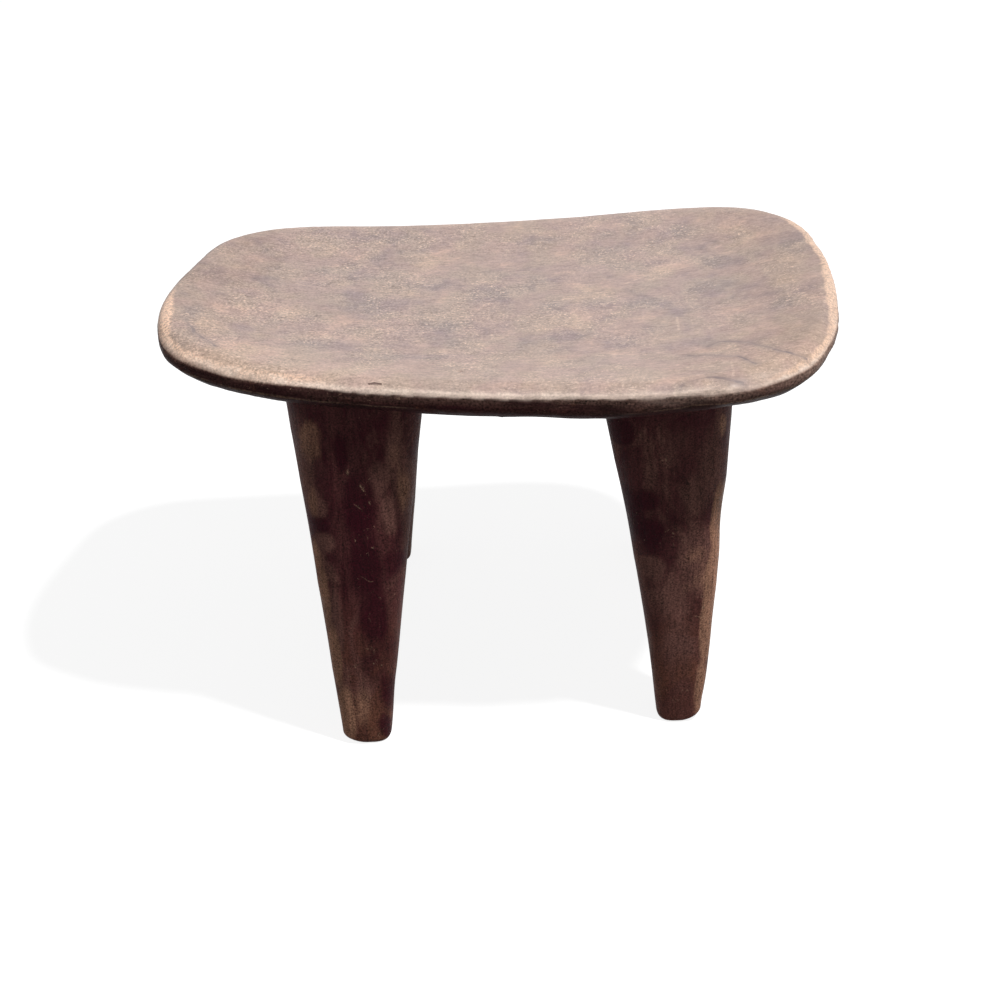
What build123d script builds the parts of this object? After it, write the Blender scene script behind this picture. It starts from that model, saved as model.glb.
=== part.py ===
from build123d import *
import math
import os

# Senufo stool: a dished seat on four tapering legs, all carved from one block of hardwood.
# Lengths are in millimetres. The origin is on the floor under the middle of the stool.
# X runs along the seat, Y from its front edge to its back edge, and Z is up.

# The seat as a whole
seat_length = 510.0
seat_depth = 336.0
seat_height = 330.5         # from the floor to the lip at either end, the highest place
rim_thickness = 24.0
end_rise = 16.0             # how far the ends curve up above the middle of the seat

# The rim's edges: rolled over above, bevelled below
top_edge_radius = 5.0
bottom_edge_bevel = 7.0

# The dish that is hollowed in the top
dish_depth = 7.0
lip_width = 15.0            # from the outline to the crest of the lip
dish_slope_width = 70.0     # from the crest of the lip to the floor of the dish
crest_slope_share = 0.8     # how steeply the dish starts at the crest, as a share of its mean slope

# The outline, counterclockwise from the right end, as shares of half the length and depth.
# The right end is the wide one, and the front edge draws in towards the left.
outline_shares = [
    (0.999, -0.104), (1.000, 0.266), (0.975, 0.594), (0.856, 0.866), (0.602, 0.993),
    (0.284, 0.990), (-0.071, 0.975), (-0.409, 0.953), (-0.705, 0.886), (-0.896, 0.628),
    (-0.972, 0.207), (-1.000, -0.166), (-0.953, -0.475), (-0.800, -0.677), (-0.541, -0.812),
    (-0.187, -0.892), (0.128, -0.950), (0.482, -1.000), (0.763, -0.920), (0.916, -0.699),
    (0.971, -0.445),
]

# The legs. Each is hewn to eight sides, four wide and four at the corners, then rounded.
leg_top_width = 101.0       # along X, at the underside of the seat
leg_top_depth = 80.0        # along Y
leg_foot_width = 38.0
leg_foot_depth = 38.0
top_corner_cut = 24.0       # how far in from each corner the corner sides start
foot_corner_cut = 8.0
corner_rounding_share = 1.3   # the radius along a leg, as a share of the corner cut at the foot
lip_taper_share = 1.1       # the taper from foot to underside, carried on to the height of the lip

# Where each leg's foot and top stand, as shares of half the seat's length and depth,
# then its width and depth as shares of the sizes above.
leg_shares = {
    "leg_front_left": dict(foot=(-0.454, -0.742), top=(-0.412, -0.540), width_share=1.00, depth_share=1.00),
    "leg_front_right": dict(foot=(0.531, -0.664), top=(0.475, -0.570), width_share=0.93, depth_share=0.96),
    "leg_rear_left": dict(foot=(-0.416, 0.826), top=(-0.415, 0.650), width_share=0.97, depth_share=0.98),
    "leg_rear_right": dict(foot=(0.545, 0.770), top=(0.500, 0.640), width_share=0.95, depth_share=1.00),
}

# How finely the dish is worked out, and how far a cutting solid runs past its cut
dish_rows = 20
dish_columns = 30
overrun = 30.0

# The radius of the long curve that the seat sags along
sag_radius = ((seat_length / 2) ** 2 + end_rise ** 2) / (2 * end_rise)


def lip_height(x):
    """The height of the lip at a place along the seat: lowest in the middle, highest at the ends."""
    return seat_height - end_rise + sag_radius - math.sqrt(sag_radius ** 2 - x ** 2)


def space_above(depth):
    """Everything above the sagging surface that lies this far below the lip."""
    reach = seat_length / 2 + overrun
    low = lip_height(reach) - depth
    high = lip_height(reach) + overrun
    sag = ThreePointArc((-reach, 0, low), (0, 0, lip_height(0) - depth), (reach, 0, low))
    walls = Polyline((reach, 0, low), (reach, 0, high), (-reach, 0, high), (-reach, 0, low))
    return extrude(make_face([sag, walls]), seat_depth / 2 + overrun, both=True)


def dish_drop(inside):
    """How far the dish lies below the lip, at a distance inside the outline."""
    share = min(1, (inside - lip_width) / dish_slope_width)
    if share < 0:
        return dish_depth * crest_slope_share * share
    start = crest_slope_share * share * (1 - share) ** 2
    return dish_depth * (start + share ** 2 * (3 - 2 * share))


def space_above_dish(outline):
    """Everything above the dish, whose surface rises clear of the rim outside the crest."""
    inside_face = make_face(outline).face()
    rows = []
    for row in range(dish_rows + 1):
        y = (seat_depth + 2 * overrun) * (row / dish_rows - 0.5)
        points = []
        for column in range(dish_columns + 1):
            x = (seat_length + 2 * overrun) * (column / dish_columns - 0.5)
            place = Vector(x, y, 0)
            distance = outline.distance_to(place)
            inside = distance if inside_face.is_inside(place) else -distance
            points.append((x, y, lip_height(x) - dish_drop(inside)))
        rows.append(points)
    return Solid.extrude(Face.make_surface_from_array_of_points(rows), Vector(0, 0, 2 * overrun))


def rim_edges(slab):
    """The closed edges that run all round the seat, from the lowest to the highest."""
    return slab.edges().filter_by(lambda edge: edge.length > seat_length).sort_by(Axis.Z)


def seat():
    """The seat: the outline raised to a sagging slab, its rim softened, and its top dished."""
    outline = Spline(*[(x * seat_length / 2, y * seat_depth / 2) for x, y in outline_shares], periodic=True)
    block = extrude(make_face(outline), seat_height + overrun)
    slab = (block & space_above(rim_thickness)) - space_above(0)
    slab = fillet(rim_edges(slab)[-1], top_edge_radius)
    slab = chamfer(rim_edges(slab)[0], bottom_edge_bevel)
    return slab - space_above_dish(outline)


def hewn_section(centre, width, depth, corner_cut, height):
    """The eight corners of a level section through a leg, counterclockwise."""
    right = [(width / 2, depth / 2 - corner_cut), (width / 2 - corner_cut, depth / 2)]
    back = right + [(-x, y) for x, y in reversed(right)]
    corners = back + [(-x, -y) for x, y in back]
    return [Vector(centre[0] + x, centre[1] + y, height) for x, y in corners]


def leg(name, upper_space):
    """A leg: hewn to flat sides that taper to the foot, rounded, and cut to the seat's underside."""
    shares = leg_shares[name]
    sections = []
    for taper, height in ((0, 0), (lip_taper_share, seat_height)):
        width = leg_foot_width + (leg_top_width - leg_foot_width) * taper
        depth = leg_foot_depth + (leg_top_depth - leg_foot_depth) * taper
        corner_cut = foot_corner_cut + (top_corner_cut - foot_corner_cut) * taper
        centre = [
            size / 2 * (foot + (top - foot) * taper)
            for size, foot, top in zip((seat_length, seat_depth), shares["foot"], shares["top"])
        ]
        width *= shares["width_share"]
        depth *= shares["depth_share"]
        sections.append(hewn_section(centre, width, depth, corner_cut, height))
    low, high = sections
    sides = [
        Face(Wire.make_polygon([low[i - 1], low[i], high[i], high[i - 1]]))
        for i in range(len(low))
    ]
    ends = [Face(Wire.make_polygon(section)) for section in sections]
    hewn = Solid(Shell(sides + ends))
    long_edges = hewn.edges().filter_by(lambda edge: edge.length > seat_height / 2)
    return fillet(long_edges, foot_corner_cut * corner_rounding_share) - upper_space


os.makedirs("parts", exist_ok=True)
export_step(seat(), "parts/seat.step")
upper_space = space_above(rim_thickness)
for name in leg_shares:
    export_step(leg(name, upper_space), f"parts/{name}.step")
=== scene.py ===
import math

import bpy
import numpy as np
from mathutils import Matrix, Vector, kdtree, noise


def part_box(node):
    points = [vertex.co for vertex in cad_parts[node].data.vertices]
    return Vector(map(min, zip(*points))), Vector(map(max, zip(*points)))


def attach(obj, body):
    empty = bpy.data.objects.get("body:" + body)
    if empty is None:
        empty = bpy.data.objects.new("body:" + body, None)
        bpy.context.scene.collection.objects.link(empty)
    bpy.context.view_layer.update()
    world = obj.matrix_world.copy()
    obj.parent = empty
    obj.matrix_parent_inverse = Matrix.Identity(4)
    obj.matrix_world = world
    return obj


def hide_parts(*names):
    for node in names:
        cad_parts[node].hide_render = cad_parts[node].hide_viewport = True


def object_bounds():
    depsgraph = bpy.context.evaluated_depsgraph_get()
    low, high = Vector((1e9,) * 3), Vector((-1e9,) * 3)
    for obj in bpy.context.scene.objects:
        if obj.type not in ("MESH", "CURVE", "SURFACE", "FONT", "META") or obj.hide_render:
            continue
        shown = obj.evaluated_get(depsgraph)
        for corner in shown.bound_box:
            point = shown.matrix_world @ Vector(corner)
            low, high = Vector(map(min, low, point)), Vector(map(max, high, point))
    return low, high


# A carved stool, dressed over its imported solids. Lengths are in metres, in the solids' own frame:
# X runs along the seat, the front is towards -Y, and Z is up from the floor.

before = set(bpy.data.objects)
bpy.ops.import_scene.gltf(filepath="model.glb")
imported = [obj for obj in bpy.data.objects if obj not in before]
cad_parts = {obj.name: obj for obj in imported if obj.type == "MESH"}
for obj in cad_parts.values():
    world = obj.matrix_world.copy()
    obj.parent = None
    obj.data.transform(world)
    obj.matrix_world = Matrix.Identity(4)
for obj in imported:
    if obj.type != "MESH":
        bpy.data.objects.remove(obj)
cad_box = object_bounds()

# The photograph's camera, as fitted to the stool's outline
CAMERA_PLACE = Vector((-0.0037, -1.20381, 0.84411))
CAMERA_PITCH = math.radians(30.5)
CAMERA_ROLL = math.radians(2.0)
LENS = 61.2
SENSOR = 36.0

# Light: a soft key high to the front right, and an even pale surrounding
KEY_AIM = Vector((0, 0, 0.2))
KEY_DISTANCE = 3.0
KEY_SIZE = 0.26
KEY_AZIMUTH = math.radians(60)
KEY_ELEVATION = math.radians(63)
KEY_POWER = 82.0
SURROUND_LIGHT = 0.14
WHITE = (1, 1, 1, 1)

# The floor: the grey that lights the stool from below, and the glowing white that the camera sees
FLOOR_HALF_SIZE = 4.0
FLOOR_GREY = (0.26, 0.26, 0.26, 1)
FLOOR_WHITE = (0.42, 0.42, 0.42, 1)
FLOOR_GLOW = 0.88

# The seat
END_RISE = 0.016          # how far the seat's ends curve up
RIM_THICKNESS = 0.024
SEAT_VOXEL = 0.00195
SEAT_SMOOTHING = 3
SMOOTHING_SHARE = 0.5
WALL_TILT = 0.35          # the outline's wall is where the surface rises or falls less than this
# The worn rim: how far in from the outline it starts to fall, and how far it falls
ROLL_WIDTH = 0.006
ROLL_HEIGHT = 0.004
FRONT_ROLL_WIDTH = 0.013
FRONT_ROLL_HEIGHT = 0.0056
CORNER_ROLL_WIDTH = 0.016
CORNER_ROLL_HEIGHT = 0.0098
ROLL_POWER = 1.8          # how late the fall comes
FRONT_ROLL_START = (0.01, 0.10)   # how far forward the front's wear comes in
CORNER_ROLL_START = (0.11, 0.20)  # how far along the seat the corners' wear comes in

# Where the hand-drawn outline swells or draws in: place along X and Y, reach, and shift along X and Y
OUTLINE_SWELLS = [
    (-0.225, -0.100, 0.055, -0.0010, -0.0036),
    (0.205, -0.146, 0.035, 0.0003, -0.0018),
    (0.250, 0.016, 0.036, 0.0045, 0.0),
    (0.250, -0.045, 0.030, -0.0010, 0.0),
    (0.236, -0.110, 0.030, -0.0012, 0.0006),
    (-0.232, 0.070, 0.045, 0.0028, -0.0012),
    (-0.212, -0.112, 0.026, 0.0, 0.0016),
    (-0.174, -0.124, 0.034, 0.0, -0.0012),
]
SWELL_FADE = (0.1, 1.2)       # the shares of the reach between which a swell fades out
# Where the rim is thicker below, and where its back lip stands higher: place along X, reach, and how much
RIM_SAGS = [
    (-0.225, 0.05, 0.0008), (-0.015, 0.06, 0.0014),
    (0.066, 0.045, 0.0027), (0.190, 0.035, 0.0010),
]
SAG_FADE = (0.2, 1.2)
SAG_FRONT = (0.08, 0.12)      # how far forward a sag comes in
SAG_HEIGHT = (0.004, 0.016)   # how far up the rim it goes out
BACK_LIP_RISE = (0.06, 0.15, 0.0009)
BACK_LIP_FADE = (0.4, 1.2)
BACK_LIP_START = (0.10, 0.15)     # how far back the lip's rise comes in
BACK_LIP_HEIGHT = (0.010, 0.020)  # how far up the rim it comes in

# Small knocks in the seat: where, how wide, how deep, and how it is drawn out along each axis
SEAT_DENTS = [
    ((-0.0288, -0.1199, 0.3127), 0.005, 0.0012, (1.0, 1.0, 1.0)),
    ((-0.0865, -0.1401, 0.3164), 0.005, 0.0016, (2.4, 0.8, 1.0)),
    ((-0.1063, -0.1480, 0.3040), 0.006, 0.0020, (1.6, 1.0, 0.6)),
    ((-0.0015, -0.1600, 0.3060), 0.005, 0.0016, (2.0, 1.0, 1.0)),
    ((-0.0293, -0.1580, 0.3040), 0.004, 0.0012, (1.5, 1.0, 1.0)),
    ((0.1340, -0.1680, 0.3030), 0.007, 0.0014, (2.2, 1.0, 1.0)),
    ((0.0700, -0.1650, 0.3000), 0.006, 0.0013, (2.4, 1.0, 1.0)),
    ((-0.2250, -0.0950, 0.3130), 0.006, 0.0013, (1.0, 1.5, 1.0)),
    ((0.2480, -0.0400, 0.3170), 0.007, 0.0013, (1.0, 1.8, 1.0)),
    ((-0.2400, 0.0600, 0.3140), 0.006, 0.0015, (1.0, 1.4, 1.0)),
    ((0.1100, 0.1650, 0.3060), 0.007, 0.0014, (2.0, 1.0, 1.0)),
    ((-0.0900, 0.1590, 0.3030), 0.006, 0.0016, (1.8, 1.0, 1.0)),
]

# Uneven surfaces: how high the waves are, how fine along each axis, and which part of the noise they use
TOP_WAVES = [(0.0006, (9, 13, 9), 3.1), (0.0002, (26, 48, 30), 8.3)]
UNDERSIDE_WAVES = [(0.0006, (10, 14, 10), 1.9)]
SIDE_WAVES = [(0.0008, (24, 24, 60), 4.2), (0.0004, (60, 60, 160), 7.7)]
LEG_WAVES = [(0.0010, (11, 11, 6), 1.3), (0.0003, (60, 60, 22), 7.9)]
# Scoops side by side, left by the adze: depth, how far their middles lie below the surface, and the same
UNDERSIDE_SCOOPS = (0.0012, 0.0006, (22, 34, 22), 5.7)
LEG_SCOOPS = (0.0010, 0.0004, (34, 34, 15), 4.1)
# Bites out of the sides, and chips along the rim's lower edge: depth, noise from none to full, and the same
SIDE_BITES = (0.0006, (0.25, 0.6), (38, 38, 90), 2.4)
EDGE_CHIPS = (0.0016, (0.15, 0.55), (30, 30, 30), 6.6)
EDGE_HEIGHT = (0.003, 0.010)  # how far up from the lower edge the chips go out
FACING = (0.2, 0.8)           # how far a surface faces up or down, from a side to the top or underside

# The legs
LEGS = ["leg_front_left", "leg_front_right", "leg_rear_left", "leg_rear_right"]
RINGS_ALONG = 230
SOLE_RINGS = 12
SOLE_EDGE_RINGS = 8
SOLE_MIDDLE = 0.05        # the innermost ring's share of the sole
POINTS_ROUND = 150
SQUARENESS_FOOT = 3.4     # 2 is an oval section, more is squarer
SQUARENESS_TOP = 2.8
SOLE_ROUNDING = 0.0045
SOLE_FLAT = 0.006         # how far up the leg its tool marks come in
FOOT_SLAB = 0.001         # how much of the solid's ends its foot and its root are measured on
ROOT_SLAB = 0.012
ROOT_OVERRUN = 0.02       # how far the rings go on, before they are held to the seat's underside
ROOT_DEPTH = 0.004        # how far a leg's end is sunk in the seat
ROOT_REACH = 0.16         # how far below the seat a leg starts to spread to its root
ROOT_POWER = 1.5          # how late the spread comes
# How much wider each leg is at its root than its solid, to the left and to the right
ROOT_SPREAD = {
    "leg_front_left": (0.0025, 0.0012),
    "leg_front_right": (0.0064, 0.0005),
    "leg_rear_left": (0.002, 0.001),
    "leg_rear_right": (0.001, 0.002),
}
# How far a worn foot is moved along the seat, and how far up the leg that goes out
FOOT_SHIFT = {"leg_front_left": 0.0006, "leg_front_right": -0.0018}
FOOT_SHIFT_HEIGHT = 0.07
# How far each leg's sides swell halfway down, to the left and to the right
BELLY = {
    "leg_front_left": (-0.0003, -0.0003),
    "leg_front_right": (-0.0004, 0.0014),
    "leg_rear_left": (0.001, 0.001),
    "leg_rear_right": (0.001, 0.001),
}
# A corner of the foot that is worn round: place along X and Y, reach, and how far it is raised
FOOT_WEAR = {
    "leg_front_left": (-0.133, -0.140, 0.018, 0.0035),
    "leg_front_right": (0.155, -0.126, 0.022, 0.0060),
}
FOOT_WEAR_HEIGHT = 0.03
# Where a leg's side is hewn a little flatter: place, reach, depth, and how it is drawn out along each axis
LEG_FLATS = {
    "leg_front_left": [
        ((-0.081, -0.118, 0.040), 0.026, 0.0012, (1.0, 1.0, 1.6)),
        ((-0.123, -0.122, 0.020), 0.022, 0.0008, (1.0, 1.0, 1.3)),
    ],
    "leg_front_right": [
        ((0.163, -0.105, 0.182), 0.024, 0.0020, (1.0, 1.6, 1.6)),
        ((0.150, -0.112, 0.018), 0.020, 0.0012, (1.0, 1.0, 1.2)),
    ],
}

# Where the top is greyed by use, and where it is rubbed tan: place along X and Y, half sizes, and strength
GREY_PATCHES = [
    (-0.210, 0.026, 0.018, 0.018, 0.9), (-0.180, 0.044, 0.016, 0.012, 1.0),
    (-0.150, 0.046, 0.018, 0.010, 1.0), (-0.110, 0.070, 0.028, 0.016, 0.6),
    (-0.052, 0.044, 0.026, 0.014, 0.8), (-0.008, 0.020, 0.022, 0.018, 0.8),
    (-0.230, -0.032, 0.009, 0.014, 1.0), (-0.190, -0.050, 0.012, 0.011, 0.8),
    (-0.160, -0.050, 0.012, 0.010, 0.8), (-0.127, -0.066, 0.022, 0.010, 0.7),
    (-0.062, -0.089, 0.030, 0.007, 1.0), (-0.040, -0.030, 0.010, 0.018, 0.7),
    (-0.074, 0.127, 0.014, 0.012, 0.8), (0.037, 0.048, 0.020, 0.016, 0.9),
    (0.045, -0.002, 0.020, 0.010, 1.0), (0.076, -0.003, 0.018, 0.012, 0.9),
    (0.118, -0.010, 0.030, 0.014, 0.9), (0.146, -0.022, 0.022, 0.012, 0.9),
    (0.180, 0.002, 0.026, 0.018, 1.0), (0.190, 0.054, 0.030, 0.014, 0.9),
    (0.150, 0.126, 0.026, 0.014, 0.7), (0.040, 0.120, 0.018, 0.012, 0.7),
    (0.048, -0.058, 0.016, 0.013, 1.0), (0.088, -0.076, 0.020, 0.014, 0.9),
    (0.130, -0.088, 0.030, 0.010, 0.8), (0.180, -0.102, 0.016, 0.008, 0.6),
    (0.224, 0.066, 0.014, 0.016, 0.7), (0.214, -0.050, 0.016, 0.014, 0.6),
]
TAN_PATCHES = [
    (-0.160, -0.010, 0.016, 0.014, 1.0), (-0.196, 0.080, 0.024, 0.010, 0.7),
    (-0.158, 0.114, 0.034, 0.018, 0.9), (-0.058, -0.064, 0.010, 0.010, 0.8),
    (-0.126, -0.022, 0.020, 0.010, 0.7), (-0.203, -0.016, 0.020, 0.012, 0.7),
    (-0.046, 0.095, 0.022, 0.014, 0.6), (-0.214, -0.058, 0.014, 0.018, 0.7),
    (-0.120, -0.118, 0.050, 0.014, 0.8), (0.016, 0.080, 0.018, 0.014, 0.7),
    (0.088, 0.028, 0.018, 0.012, 0.8), (0.137, 0.052, 0.014, 0.012, 0.8),
    (0.158, 0.036, 0.010, 0.008, 0.8), (0.184, -0.036, 0.018, 0.009, 0.8),
    (0.133, -0.052, 0.006, 0.012, 0.6), (0.062, -0.040, 0.022, 0.012, 0.7),
    (0.222, -0.006, 0.016, 0.014, 0.7), (0.156, -0.104, 0.018, 0.006, 1.0),
    (0.134, -0.156, 0.036, 0.006, 0.9), (0.048, -0.094, 0.022, 0.008, 0.8),
    (0.018, -0.096, 0.024, 0.012, 0.7), (-0.185, -0.092, 0.050, 0.020, 0.8),
    (0.128, 0.078, 0.018, 0.010, 0.6), (0.206, -0.132, 0.024, 0.010, 0.9),
]
PATCH_FADE = (0.2, 1.4)       # the shares of a patch's half sizes between which it fades out
LEG_FRONT = 0.09              # how far forward the legs' fronts are
LEG_FRONT_FADE = (-0.02, 0.03)    # how softly their patches start there

# Where the front legs are stained darker, paled or rubbed, with painted shadow of the seat among the dark
# patches and painted light among the pale and rubbed ones: place along X and Z, half sizes, and strength
DARK_PATCHES = {
    "leg_front_left": [
        (-0.129, 0.255, 0.003, 0.014, 0.8), (-0.117, 0.255, 0.006, 0.022, 1.0),
        (-0.108, 0.215, 0.016, 0.040, 1.0), (-0.106, 0.160, 0.018, 0.040, 1.0),
        (-0.103, 0.115, 0.015, 0.040, 0.9), (-0.136, 0.196, 0.012, 0.008, 0.8),
        (-0.129, 0.168, 0.008, 0.006, 0.6), (-0.100, 0.075, 0.008, 0.020, 0.5),
        (-0.096, 0.048, 0.008, 0.028, 0.8), (-0.079, 0.200, 0.004, 0.050, 0.5),
        (-0.098, 0.085, 0.016, 0.026, 0.7), (-0.122, 0.150, 0.007, 0.020, 0.6),
        (-0.086, 0.162, 0.012, 0.018, 0.8), (-0.108, 0.078, 0.011, 0.024, 0.55),
        (-0.100, 0.015, 0.006, 0.018, 0.9),
    ],
    # Painted shadow: the high dark patches here lie where the seat's shadow falls across the leg.
    "leg_front_right": [
        (0.103, 0.207, 0.014, 0.012, 0.9), (0.107, 0.180, 0.014, 0.015, 1.0),
        (0.125, 0.192, 0.014, 0.012, 0.5), (0.131, 0.055, 0.010, 0.016, 0.5),
        (0.114, 0.090, 0.010, 0.028, 0.35), (0.084, 0.262, 0.014, 0.014, 1.1),
        (0.092, 0.190, 0.010, 0.030, 1.3), (0.120, 0.050, 0.012, 0.030, 0.4),
    ],
}
# Painted light as well as paleness: the high patches on the front left leg, and those below the seat's
# shadow on the front right leg, stand for lit wood.
PALE_PATCHES = {
    "leg_front_left": [
        (-0.145, 0.250, 0.009, 0.040, 1.0), (-0.140, 0.215, 0.007, 0.016, 0.8),
        (-0.084, 0.205, 0.010, 0.020, 1.0), (-0.079, 0.252, 0.007, 0.028, 0.9),
        (-0.104, 0.228, 0.006, 0.009, 0.8), (-0.133, 0.182, 0.009, 0.010, 0.9),
        (-0.078, 0.120, 0.006, 0.030, 0.4), (-0.073, 0.222, 0.010, 0.032, 1.3),
        (-0.091, 0.232, 0.012, 0.020, 0.7), (-0.131, 0.115, 0.007, 0.040, 0.9),
        (-0.114, 0.048, 0.009, 0.034, 0.5), (-0.128, 0.060, 0.006, 0.030, 0.5),
    ],
    "leg_front_right": [
        (0.157, 0.150, 0.006, 0.070, 1.0), (0.142, 0.155, 0.018, 0.040, 1.0),
        (0.126, 0.120, 0.018, 0.040, 0.7), (0.130, 0.075, 0.020, 0.040, 0.7),
        (0.118, 0.238, 0.006, 0.008, 0.5), (0.156, 0.262, 0.005, 0.014, 1.0),
        (0.112, 0.143, 0.010, 0.014, 0.8), (0.125, 0.248, 0.030, 0.028, 0.40),
        (0.150, 0.235, 0.014, 0.036, 1.0), (0.140, 0.212, 0.014, 0.026, 1.0),
        (0.108, 0.148, 0.013, 0.012, 1.2),
    ],
}
# Painted light as well as rubbing: the high patches on the front left leg and the strip down the front
# right leg's right-hand edge stand for lit wood.
RUBBED_AND_LIT_PATCHES = {
    "leg_front_left": [
        (-0.116, 0.032, 0.011, 0.024, 0.65), (-0.141, 0.215, 0.005, 0.020, 0.5),
        (-0.143, 0.165, 0.006, 0.020, 0.7), (-0.139, 0.130, 0.007, 0.040, 0.9),
        (-0.135, 0.080, 0.007, 0.040, 1.0), (-0.130, 0.024, 0.009, 0.034, 1.15),
        (-0.074, 0.222, 0.007, 0.026, 0.7), (-0.139, 0.264, 0.013, 0.022, 0.85),
        (-0.079, 0.255, 0.006, 0.020, 0.35),
    ],
    "leg_front_right": [
        (0.161, 0.184, 0.010, 0.034, 1.8), (0.157, 0.130, 0.009, 0.040, 1.6),
        (0.154, 0.090, 0.009, 0.040, 1.5), (0.150, 0.030, 0.007, 0.038, 1.0),
        (0.159, 0.264, 0.004, 0.012, 1.0), (0.143, 0.145, 0.018, 0.036, 0.50),
    ],
}
LEG_PATCHES = {"dark": DARK_PATCHES, "pale": PALE_PATCHES, "rubbed_and_lit": RUBBED_AND_LIT_PATCHES}

# Colours in linear light, from the photograph's middle values
# The top's pale colours are the wood's own colour with painted sheen: the satin top's reflection of the
# light is painted into them.
TOP_MIDDLE = (0.452, 0.340, 0.300)
TOP_GREY = (0.345, 0.272, 0.262)
TOP_TAN = (0.600, 0.432, 0.352)
TOP_FLECK = (0.780, 0.590, 0.480)
TOP_FRONT = (0.585, 0.430, 0.352)
TOP_PINKISH = (1.015, 0.982, 1.0)      # two tints that the top wanders between
TOP_YELLOWISH = (0.995, 1.005, 0.975)
TOP_WORN = (0.86, 0.600, 0.445)
WORN_LEFT = (0.98, 0.665, 0.485)
END_WARMTH = (1.0, 0.970, 0.935)
# The front lip's pale line: a worn edge with a painted highlight of the lamp on the rolled rim.
WORN_LIP_HIGHLIGHT = (0.93, 0.75, 0.63)
SIDE_DARK = (0.084, 0.033, 0.030)
SIDE_BLACK = (0.030, 0.008, 0.010)
SIDE_BROWN = (0.265, 0.168, 0.132)
SIDE_PALE = (0.44, 0.31, 0.245)
LEG_DARK = (0.095, 0.030, 0.030)
LEG_BLACK = (0.034, 0.0035, 0.0080)
LEG_BROWN = (0.185, 0.075, 0.047)
LEG_GREY = (0.205, 0.096, 0.078)
LEG_TAN = (0.430, 0.223, 0.145)
WOOD_TAN = (0.46, 0.29, 0.20)

# Noises of the wood: how much finer along each axis, fineness, layers, roughness and distortion
SEAT_NOISES = {
    "clouds": ((0.85, 1.0, 1), 30, 3, 0.55, 0.7),
    "smudges": ((1, 1, 1), 66, 4, 0.65, 0.6),
    "clusters": ((1, 1, 1), 19, 3, 0.5, 0),
    "tints": ((1, 1, 1), 38, 2, 0.5, 0),
    "curls": ((1, 1.5, 1), 115, 2, 0.6, 1.6),
    "grit": ((0.55, 0.60, 1), 900, 1, 0.5, 0),
    "speckle": ((1, 0.9, 1), 620, 1, 0.5, 0),
    "nicks": ((1, 1, 2.2), 150, 4, 0.7, 1.5),
}
LEG_NOISES = {
    "clouds": ((1, 1, 0.6), 30, 4, 0.6, 0.9),
    "clusters": ((1, 1, 1), 24, 3, 0.5, 0),
    "flecks": ((1, 1, 0.6), 190, 5, 0.75, 1.4),
    "grit": ((1, 1, 1), 800, 1, 0.5, 0),
}
# The same for the noises that follow the swaying grain, and how fine and how wide the grain sways
SEAT_GRAIN = {
    "grain": ((45, 340, 150), 1.0, 4, 0.7, 0),
    "fibres": ((150, 540, 400), 1.0, 3, 0.75, 0),
    "streaks": ((18, 18, 210), 1.0, 5, 0.7, 0),
}
LEG_GRAIN = {
    "grain": ((420, 420, 30), 1.0, 4, 0.7, 0),
    "streaks": ((1, 1, 0.32), 52, 4, 0.62, 0.6),
}
SEAT_SWAY = (9.0, (0.0, 0.010, 0.0))
LEG_SWAY = (8.0, (0.012, 0.012, 0.0))
RING_SWAY = (55.0, (0.006, 0.006, 0.0))
SWAY_LAYERS = 2.0
NOISE_MIDDLE = 0.5
DARKEST = 0.05            # the least that the grain may scale a colour by

# Growth rings that the dish cut through, as chains of places along X and Y, with a fine and a soft width
RINGS_CUT = [
    [(0.122, -0.1625), (0.1285, -0.159), (0.136, -0.1565), (0.152, -0.157), (0.166, -0.161)],
    [(0.134, -0.1105), (0.140, -0.1145), (0.146, -0.113), (0.157, -0.120), (0.1665, -0.125),
     (0.177, -0.143)],
    [(0.149, -0.096), (0.159, -0.0895), (0.171, -0.093), (0.1785, -0.100), (0.189, -0.1155),
     (0.1955, -0.1265)],
    [(0.1955, -0.1265), (0.205, -0.1345), (0.214, -0.1365)],
    [(-0.231, -0.045), (-0.222, -0.068), (-0.205, -0.088)],
]
RING_WIDTH = 0.0018
RING_SHADE_WIDTH = 0.0060
RING_SHADE = 0.32             # how strong the soft one is
RING_TONE = 0.80              # how dark a ring is, as a share of the top's grey
# Scratches on the top, and a painted highlight along the split's upper edge
SCRATCHES_AND_SPLIT_HIGHLIGHT = [
    [(0.101, 0.031), (0.1265, 0.049), (0.140, 0.061)],
    [(0.065, -0.0945), (0.082, -0.095), (0.100, -0.1005), (0.118, -0.098)],
    [(0.1325, -0.062), (0.1335, -0.040)],
    [(0.1615, -0.134), (0.160, -0.155)],
    [(0.129, -0.140), (0.138, -0.139), (0.148, -0.137)],
    [(-0.163, 0.048), (-0.150, 0.040), (-0.140, 0.052)],
    [(-0.168, -0.012), (-0.150, -0.004)],
    [(-0.170, -0.022), (-0.164, -0.012)],
    # Painted highlight: a pale line just above the split, for the light caught on its edge.
    [(-0.0880, -0.1362), (-0.0840, -0.1366)],
]
SCRATCH_WIDTH = 0.0014
SCRATCH_SHARE = 0.7           # how strong their colour is
# A split by the front lip, and a small worm hole
SPLITS = [[(-0.0925, -0.1386), (-0.0885, -0.1380), (-0.0840, -0.1388)]]
SPLIT_WIDTH = 0.0008
SPLIT_SHARE = 0.7
HOLES = [[(-0.0296, -0.1199), (-0.0280, -0.1199)]]
HOLE_WIDTH = 0.0018
HOLE_SHARE = 0.6
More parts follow.
